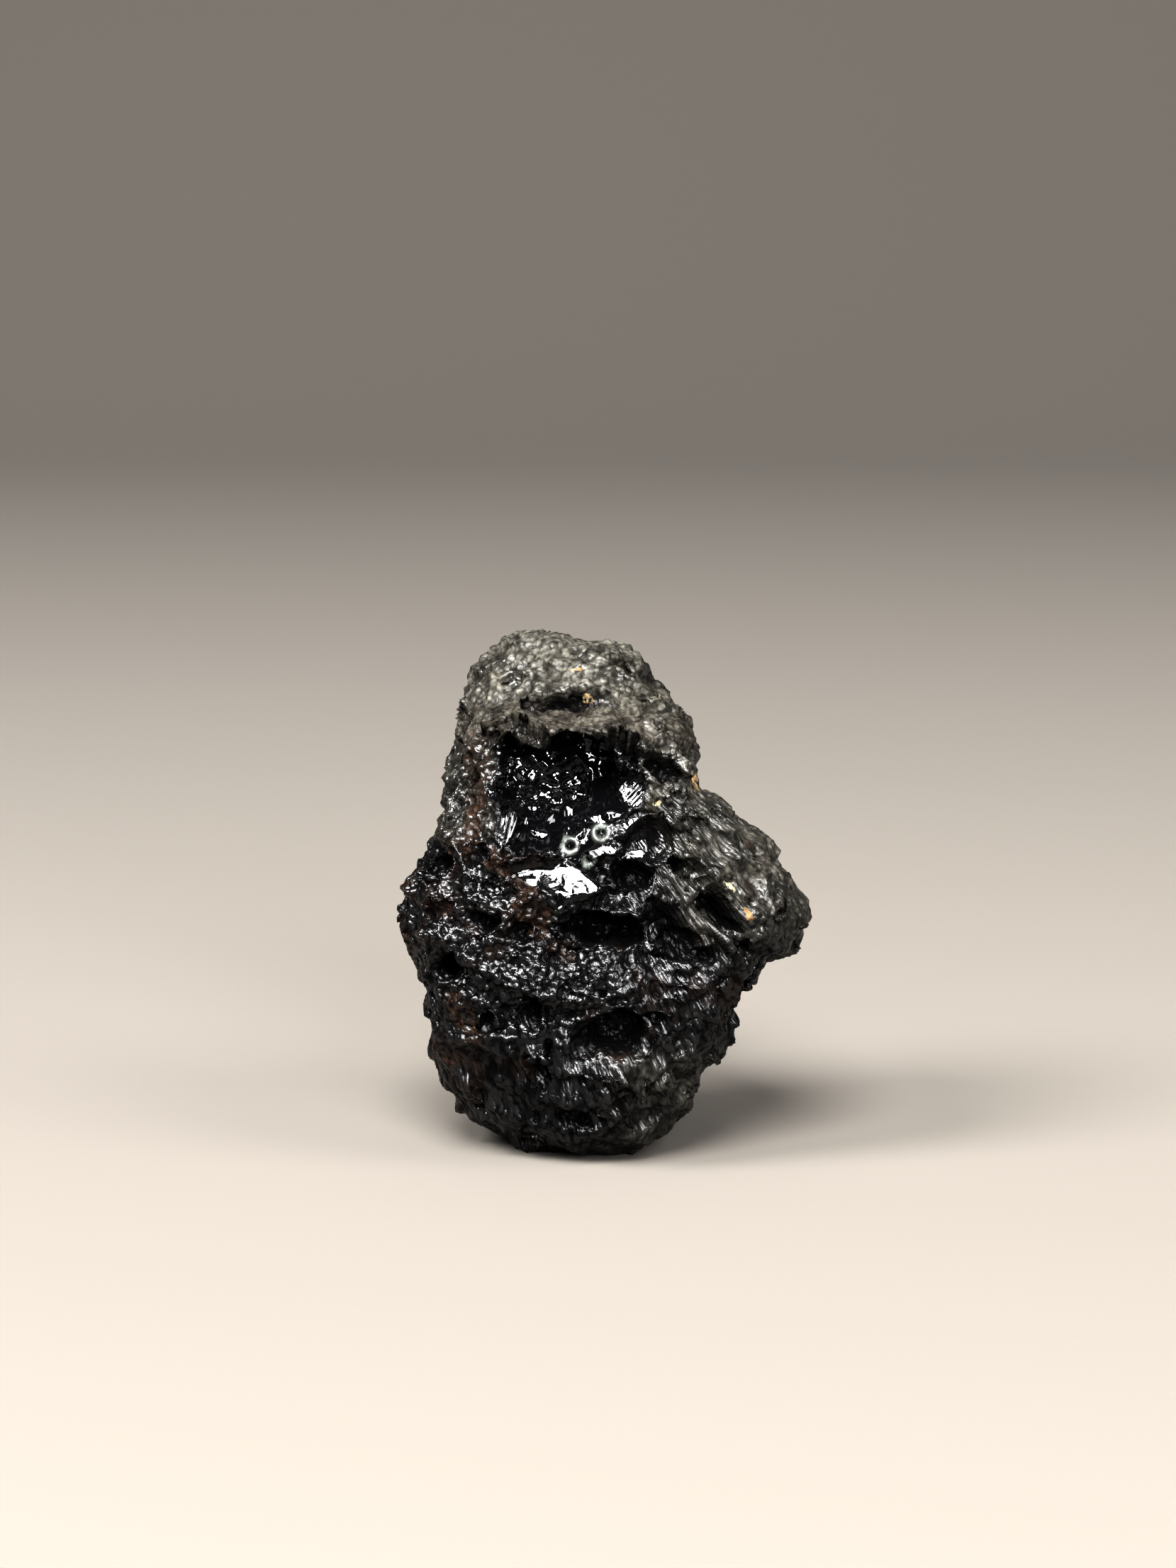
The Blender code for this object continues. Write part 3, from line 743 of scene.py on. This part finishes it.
crest_with_painted_light_and_shade = smooth(0.5 + rough / GRAIN_STEP + 0.35 * lit)
crest_with_painted_light_and_shade *= 1.0 - 0.85 * np.maximum(deep, smooth(pitted / PIT_DEEP))
flow = flow_coordinates(points)

# The photograph looks down on the stone, so it is leaned back from that view and then cut flat where it rests
LEAN_BACK = 10.0
RESTING_CUT = 7.0

leaned = math.radians(LEAN_BACK)
points = np.stack(
    [x, y * math.cos(leaned) + z * math.sin(leaned), z * math.cos(leaned) - y * math.sin(leaned)], axis=-1
)
points[:, 2] = np.maximum(points[:, 2] + RESTING_CUT, 0.0)

# What the glass reads from the mesh. Fresh glass shows from the first share on and is whole from the second:
# it is smoother than grained glass and has no grain. Frosted glass is duller, and its grain softer. Raised
# and polished say how far the grained and the fresh glass mirror the light; raised is lowered in the gaps,
# deep hollows and pits as painted shade, and kept high on the flats that face the light as a painted
# highlight
FRESH_SHOWS = (0.2, 0.9)
FRESH_ROUGHNESS = 0.06
GRAINED_ROUGHNESS = 0.3
FROSTED_ROUGHNESS = 0.6
GRAIN_STRENGTH = 0.8
FROSTED_GRAIN = 0.5
FROSTED_SHEEN = 0.65
# Painted shade: the share of mirror left in the gaps between grains
GAP_SHEEN = 0.15

frosted_grain = np.interp(frost_and_painted_light, (0.3, 1.0), (1.0, FROSTED_GRAIN))
frosted_sheen = np.interp(frost_and_painted_light, (0.2, 1.0), (1.0, FROSTED_SHEEN))
# Values for the glass: real stains and grain, and masks that paint light and shade
skin_values = {
    "drawn": drawn,
    "crest_with_painted_light_and_shade": crest_with_painted_light_and_shade,
    "clay_and_warm_reflection": clay_and_warm_reflection,
    "frost_and_painted_light": frost_and_painted_light,
    "soil": soil,
    "pale": pale,
    "painted_lip_highlight": painted_lip_highlight,
    "grain": np.interp(fresh, FRESH_SHOWS, (GRAIN_STRENGTH, 0.0)) * frosted_grain,
    "dull": np.maximum(
        np.interp(fresh, FRESH_SHOWS, (GRAINED_ROUGHNESS, FRESH_ROUGHNESS)),
        np.interp(frost_and_painted_light, (0.0, 1.0), (0.0, FROSTED_ROUGHNESS)),
    ),
    "raised": np.interp(crest_with_painted_light_and_shade, (0.1, 0.7), (GAP_SHEEN, 1.0)) * frosted_sheen,
    "polished": np.interp(fresh, FRESH_SHOWS, (0.0, 1.0)) * frosted_sheen,
}
pebble_mesh = bpy.data.meshes.new("pebble")
pebble_mesh.from_pydata(points * MM, [], squares)
pebble_mesh.shade_smooth()
for name, values in skin_values.items():
    pebble_mesh.attributes.new(name, "FLOAT", "POINT").data.foreach_set("value", values)
pebble_mesh.attributes.new("flow", "FLOAT_VECTOR", "POINT").data.foreach_set("vector", flow.ravel())
pebble = bpy.data.objects.new("pebble", pebble_mesh)
bpy.context.scene.collection.objects.link(pebble)


def linear(hex_colour):
    """The shader's linear colour for an sRGB hex colour."""
    parts = np.array([int(hex_colour[k : k + 2], 16) for k in (1, 3, 5)]) / 255.0
    return (*np.where(parts <= 0.04045, parts / 12.92, ((parts + 0.055) / 1.055) ** 2.4), 1.0)


def add_node(material, kind, settings, links):
    """Adds a node, with settings for its own properties or for its inputs, and links from other nodes'
    outputs to its inputs. An input goes by its name, or by its number where a name repeats."""
    node = material.node_tree.nodes.new(kind)
    for name, value in settings.items():
        if isinstance(name, str) and hasattr(node, name):
            setattr(node, name, value)
        else:
            node.inputs[name].default_value = value
    for name, source in links.items():
        material.node_tree.links.new(source, node.inputs[name])
    return node


# Natural glass, rich in silica and iron: opaque black in the lump. Where the bubble left it fresh it is as
# smooth as flame-polished glass. Its skin is etched, so each grain of it is duller and fine pits scatter the
# light, and it is frosted grey where it is most weathered, a grey that is also painted light. A brown film of
# clay stains it, and its brown is also a painted warm reflection, with a few flecks of ochre soil
GLASS_IOR = 1.51
CLAY_ROUGHNESS = 0.65
SOIL_ROUGHNESS = 0.9
CLEAN_SHEEN = 0.5
CLAY_SHEEN = 0.25
BLACK_GLASS = "#060607"
# Painted shade and painted highlight: the frosted grey of the gaps between grains and of their tops
FROSTED_GAP_SHADE = "#33312c"
FROSTED_TIP_HIGHLIGHT = "#5d5a52"
# The clay brown is also a painted warm reflection
CLAY_AND_REFLECTION_BROWN = "#261a12"
# The pale grey of the ring lips is a painted highlight
LIP_HIGHLIGHT_GREY = "#70736f"
OCHRE_SOIL = "#5f3f16"
PALE_SOIL = "#8f8a72"

# Etched droplets of glass and drawn streaks. The real ones go down to a few hundredths of a millimetre, which
# is too fine to show in the render, so they are drawn 0.16 and 0.1 mm apart. They stand 0.05 mm high, and
# their rows bend
DROPLET_SPACING = 0.16
STREAK_SPACING = 0.1
DROPLET_BEND = 0.15
DROPLET_BEND_SIZE = 0.3
DROPLET_HEIGHT = 0.05

glass = bpy.data.materials.new("tektite_glass")
glass.use_nodes = True
glass.node_tree.nodes.clear()
mesh_value = {}
for name in skin_values:
    mesh_value[name] = add_node(glass, "ShaderNodeAttribute", {"attribute_name": name}, {}).outputs["Fac"]
streak_place = add_node(glass, "ShaderNodeAttribute", {"attribute_name": "flow"}, {}).outputs["Vector"]
place = add_node(glass, "ShaderNodeTexCoord", {}, {}).outputs["Object"]
bend = add_node(
    glass, "ShaderNodeTexNoise", {"Scale": 1.0 / (DROPLET_BEND_SIZE * MM), "Detail": 2.0}, {"Vector": place}
).outputs["Color"]
bend = add_node(
    glass, "ShaderNodeVectorMath", {"operation": "SCALE", "Scale": DROPLET_BEND * MM}, {0: bend}
).outputs["Vector"]
droplet_place = add_node(
    glass, "ShaderNodeVectorMath", {"operation": "ADD"}, {0: place, 1: bend}
).outputs["Vector"]
droplets = add_node(
    glass, "ShaderNodeTexVoronoi", {"Scale": 1.0 / (DROPLET_SPACING * MM)}, {"Vector": droplet_place}
).outputs["Distance"]
streaks = add_node(
    glass, "ShaderNodeTexVoronoi", {"Scale": 1.0 / STREAK_SPACING}, {"Vector": streak_place}
).outputs["Distance"]
apart = add_node(glass, "ShaderNodeMix", {}, {0: mesh_value["drawn"], 2: droplets, 3: streaks}).outputs[0]
squared = add_node(glass, "ShaderNodeMath", {"operation": "MULTIPLY"}, {0: apart, 1: apart}).outputs[0]
domes = add_node(
    glass, "ShaderNodeMapRange", {"From Max": 0.6, "To Min": 1.0, "To Max": 0.0}, {"Value": squared}
).outputs["Result"]
bumps = add_node(
    glass, "ShaderNodeBump", {"Distance": DROPLET_HEIGHT * MM}, {"Strength": mesh_value["grain"], "Height": domes}
).outputs["Normal"]

# Clay, whose brown is also a painted warm reflection, and soil lie in a grainy film, thick in one grain and
# thin in the next
film = add_node(
    glass, "ShaderNodeTexNoise", {"Scale": 1.0 / (DROPLET_SPACING * MM), "Detail": 3.0}, {"Vector": place}
).outputs["Fac"]
film = add_node(
    glass, "ShaderNodeMapRange", {"From Min": 0.35, "From Max": 0.65}, {"Value": film}
).outputs["Result"]
clay_and_reflection_share = add_node(
    glass, "ShaderNodeMath", {"operation": "MULTIPLY"}, {0: mesh_value["clay_and_warm_reflection"], 1: film}
).outputs[0]
soil_share = add_node(
    glass, "ShaderNodeMath", {"operation": "MULTIPLY"}, {0: mesh_value["soil"], 1: film}
).outputs[0]
soil_share = add_node(
    glass, "ShaderNodeMapRange", {"From Min": 0.15, "From Max": 0.45, "To Max": 0.85}, {"Value": soil_share}
).outputs["Result"]
frost_film = add_node(glass, "ShaderNodeMapRange", {"To Min": 0.35}, {"Value": film}).outputs["Result"]
frost_and_painted_light_share = add_node(
    glass, "ShaderNodeMath", {"operation": "MULTIPLY"}, {0: mesh_value["frost_and_painted_light"], 1: frost_film}
).outputs[0]

# The colour: black glass, frosted grey that is paler on the grain tops and darker in the gaps, a painted
# highlight and painted shade, then clay with its painted warm reflection, the ring lips in pale grey as a
# painted highlight, and soil
painted_tip_light = add_node(glass, "ShaderNodeMath", {"operation": "MULTIPLY"}, {0: mesh_value["crest_with_painted_light_and_shade"], 1: domes}).outputs[0]
frosted = add_node(
    glass, "ShaderNodeMix", {"data_type": "RGBA", 6: linear(FROSTED_GAP_SHADE), 7: linear(FROSTED_TIP_HIGHLIGHT)}, {0: painted_tip_light}
).outputs[2]
colour = add_node(
    glass, "ShaderNodeMix", {"data_type": "RGBA", 6: linear(BLACK_GLASS)}, {0: frost_and_painted_light_share, 7: frosted}
).outputs[2]
for share, hex_colour in ((clay_and_reflection_share, CLAY_AND_REFLECTION_BROWN), (mesh_value["painted_lip_highlight"], LIP_HIGHLIGHT_GREY)):
    colour = add_node(
        glass, "ShaderNodeMix", {"data_type": "RGBA", 7: linear(hex_colour)}, {0: share, 6: colour}
    ).outputs[2]
soil_colour = add_node(
    glass,
    "ShaderNodeMix",
    {"data_type": "RGBA", 6: linear(OCHRE_SOIL), 7: linear(PALE_SOIL)},
    {0: mesh_value["pale"]},
).outputs[2]
colour = add_node(
    glass, "ShaderNodeMix", {"data_type": "RGBA"}, {0: soil_share, 6: colour, 7: soil_colour}
).outputs[2]

# The gloss: clay and soil dull it. The mirror is turned down in the narrow gaps between the grains, in deep
# hollows and in pits, which is painted shade, and kept up on the flats laid to face the light, a painted
# highlight
dullness = mesh_value["dull"]
for share, low, high, full in (
    (clay_and_reflection_share, 0.1, 0.9, CLAY_ROUGHNESS),
    (soil_share, 0.0, 1.0, SOIL_ROUGHNESS),
):
    film_dullness = add_node(
        glass, "ShaderNodeMapRange", {"From Min": low, "From Max": high, "To Max": full}, {"Value": share}
    ).outputs["Result"]
    dullness = add_node(
        glass, "ShaderNodeMath", {"operation": "MAXIMUM"}, {0: dullness, 1: film_dullness}
    ).outputs[0]
mirror_with_painted_shade = add_node(
    glass, "ShaderNodeMapRange", {"From Min": 0.1, "From Max": 0.6, "To Min": 0.1}, {"Value": domes}
).outputs["Result"]
mirror_with_painted_shade = add_node(
    glass, "ShaderNodeMath", {"operation": "MULTIPLY"}, {0: mesh_value["raised"], 1: mirror_with_painted_shade}
).outputs[0]
mirror_with_painted_shade = add_node(
    glass, "ShaderNodeMath", {"operation": "MAXIMUM"}, {0: mesh_value["polished"], 1: mirror_with_painted_shade}
).outputs[0]
sheen = add_node(
    glass,
    "ShaderNodeMapRange",
    {"From Min": 0.1, "From Max": 0.9, "To Min": CLEAN_SHEEN, "To Max": CLAY_SHEEN},
    {"Value": clay_and_reflection_share},
).outputs["Result"]
sheen = add_node(glass, "ShaderNodeMath", {"operation": "MULTIPLY"}, {0: mirror_with_painted_shade, 1: sheen}).outputs[0]
surface = add_node(
    glass,
    "ShaderNodeBsdfPrincipled",
    {"IOR": GLASS_IOR},
    {"Base Color": colour, "Roughness": dullness, "Normal": bumps, "Specular IOR Level": sheen},
).outputs["BSDF"]
add_node(glass, "ShaderNodeOutputMaterial", {}, {"Surface": surface})
pebble_mesh.materials.append(glass)
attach(pebble, "root")
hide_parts("tektite")


# The studio sweep. One sheet of thick matt paper, in a warm mid grey that the light brings up to pale. It
# lies flat under the stone and curves up behind it.
SWEEP_HALF_WIDTH = 0.6
SWEEP_FRONT = -0.05
SWEEP_BEND_FROM = 0.25
SWEEP_BEND = 0.2
SWEEP_HEIGHT = 0.9
SWEEP_STEPS = 96
PAPER_GREY = "#5b5752"
PAPER_ROUGHNESS = 0.9


def sweep_profile(length):
    """The paper's (y, z) at each distance along it: flat up to the bend, a quarter circle, then upright."""
    flat = SWEEP_BEND_FROM - SWEEP_FRONT
    turn = np.clip((length - flat) / SWEEP_BEND, 0.0, math.pi / 2.0)
    up = np.clip(length - flat - SWEEP_BEND * math.pi / 2.0, 0.0, None)
    y = SWEEP_FRONT + np.minimum(length, flat) + SWEEP_BEND * np.sin(turn)
    return y, SWEEP_BEND * (1.0 - np.cos(turn)) + up


sweep_length = SWEEP_BEND_FROM - SWEEP_FRONT + SWEEP_BEND * math.pi / 2.0 + SWEEP_HEIGHT
sweep_across, sweep_along = np.meshgrid(
    np.linspace(-SWEEP_HALF_WIDTH, SWEEP_HALF_WIDTH, 3),
    np.linspace(0.0, sweep_length, SWEEP_STEPS + 1),
    indexing="ij",
)
sweep_points = np.stack([sweep_across, *sweep_profile(sweep_along)], axis=-1).reshape(-1, 3)
index = np.arange(len(sweep_points)).reshape(sweep_across.shape)
sweep_squares = np.stack([index[:-1, :-1], index[1:, :-1], index[1:, 1:], index[:-1, 1:]], axis=-1)
sweep_mesh = bpy.data.meshes.new("studio_sweep")
sweep_mesh.from_pydata(sweep_points, [], sweep_squares.reshape(-1, 4))
sweep_mesh.shade_smooth()
sweep = bpy.data.objects.new("studio_sweep", sweep_mesh)
bpy.context.scene.collection.objects.link(sweep)
paper = bpy.data.materials.new("matt_grey_paper")
paper.use_nodes = True
paper.node_tree.nodes["Principled BSDF"].inputs["Base Color"].default_value = linear(PAPER_GREY)
paper.node_tree.nodes["Principled BSDF"].inputs["Roughness"].default_value = PAPER_ROUGHNESS
sweep_mesh.materials.append(paper)


# The light. Round soft boxes, small enough to sparkle on the grain: the key above the front, dimmer ones to
# its left and right and low in front, and a wide one over the paper. The room round them is dim and even.

# Each lamp as (name, azimuth, elevation, distance and width in metres, power in watts)
LAMPS = [
    ("key_box", -10.0, 51.0, 0.35, 0.18, 6.0),
    ("left_box", -65.0, 42.0, 0.35, 0.15, 3.8),
    ("right_box", 62.0, 42.0, 0.35, 0.18, 1.5),
    ("low_box", 15.0, 20.0, 0.3, 0.12, 1.7),
    ("top_box", 180.0, 75.0, 0.6, 0.5, 1.2),
]
ROOM_GREY = "#606468"
ROOM_STRENGTH = 0.25

# A gamma below 1 deepens the blacks, as the photograph does
VIEW_GAMMA = 0.7

stone_middle = np.array([0.0, 0.0, RESTING_CUT * MM])
for name, azimuth, elevation, distance, width, power in LAMPS:
    lamp = bpy.data.lights.new(name, "AREA")
    lamp.shape = "DISK"
    lamp.size = width
    lamp.energy = power
    light = bpy.data.objects.new(name, lamp)
    light.location = stone_middle + around_direction(azimuth, elevation) * distance
    light.rotation_euler = (math.radians(90.0 - elevation), 0.0, math.radians(azimuth))
    bpy.context.scene.collection.objects.link(light)
world = bpy.data.worlds.new("dim_room")
world.use_nodes = True
world.node_tree.nodes["Background"].inputs["Color"].default_value = linear(ROOM_GREY)
world.node_tree.nodes["Background"].inputs["Strength"].default_value = ROOM_STRENGTH
bpy.context.scene.world = world
bpy.context.scene.view_settings.view_transform = "Standard"
bpy.context.scene.view_settings.gamma = VIEW_GAMMA


# The camera. It looks along +Y and a little down, from about 12 cm, as a phone held close does. The
# photograph has 50 pixels to a millimetre at the stone, whose middle lies right of and below the middle of
# the frame.
FRAME_HEIGHT = 2212
PIXELS_PER_MM = 50.0
STONE_RIGHT = 20.5
STONE_DOWN = 152.0
CAMERA_TILT = 8.6
LENS = 100.0
SENSOR = 36.0
NEAREST_SEEN = 0.005

camera_data = bpy.data.cameras.new("camera")
camera_data.lens = LENS
camera_data.sensor_width = SENSOR
camera_data.clip_start = NEAREST_SEEN
camera = bpy.data.objects.new("camera", camera_data)
bpy.context.scene.collection.objects.link(camera)
bpy.context.scene.camera = camera
camera_distance = FRAME_HEIGHT / PIXELS_PER_MM * LENS / SENSOR
tilt = math.radians(CAMERA_TILT)
back = np.array([0.0, -math.cos(tilt), math.sin(tilt)])
up = np.array([0.0, math.sin(tilt), math.cos(tilt)])
aim = np.array([-STONE_RIGHT / PIXELS_PER_MM, 0.0, RESTING_CUT]) + up * STONE_DOWN / PIXELS_PER_MM
camera.location = (aim + back * camera_distance) * MM
camera.rotation_euler = (math.radians(90.0 - CAMERA_TILT), 0.0, 0.0)
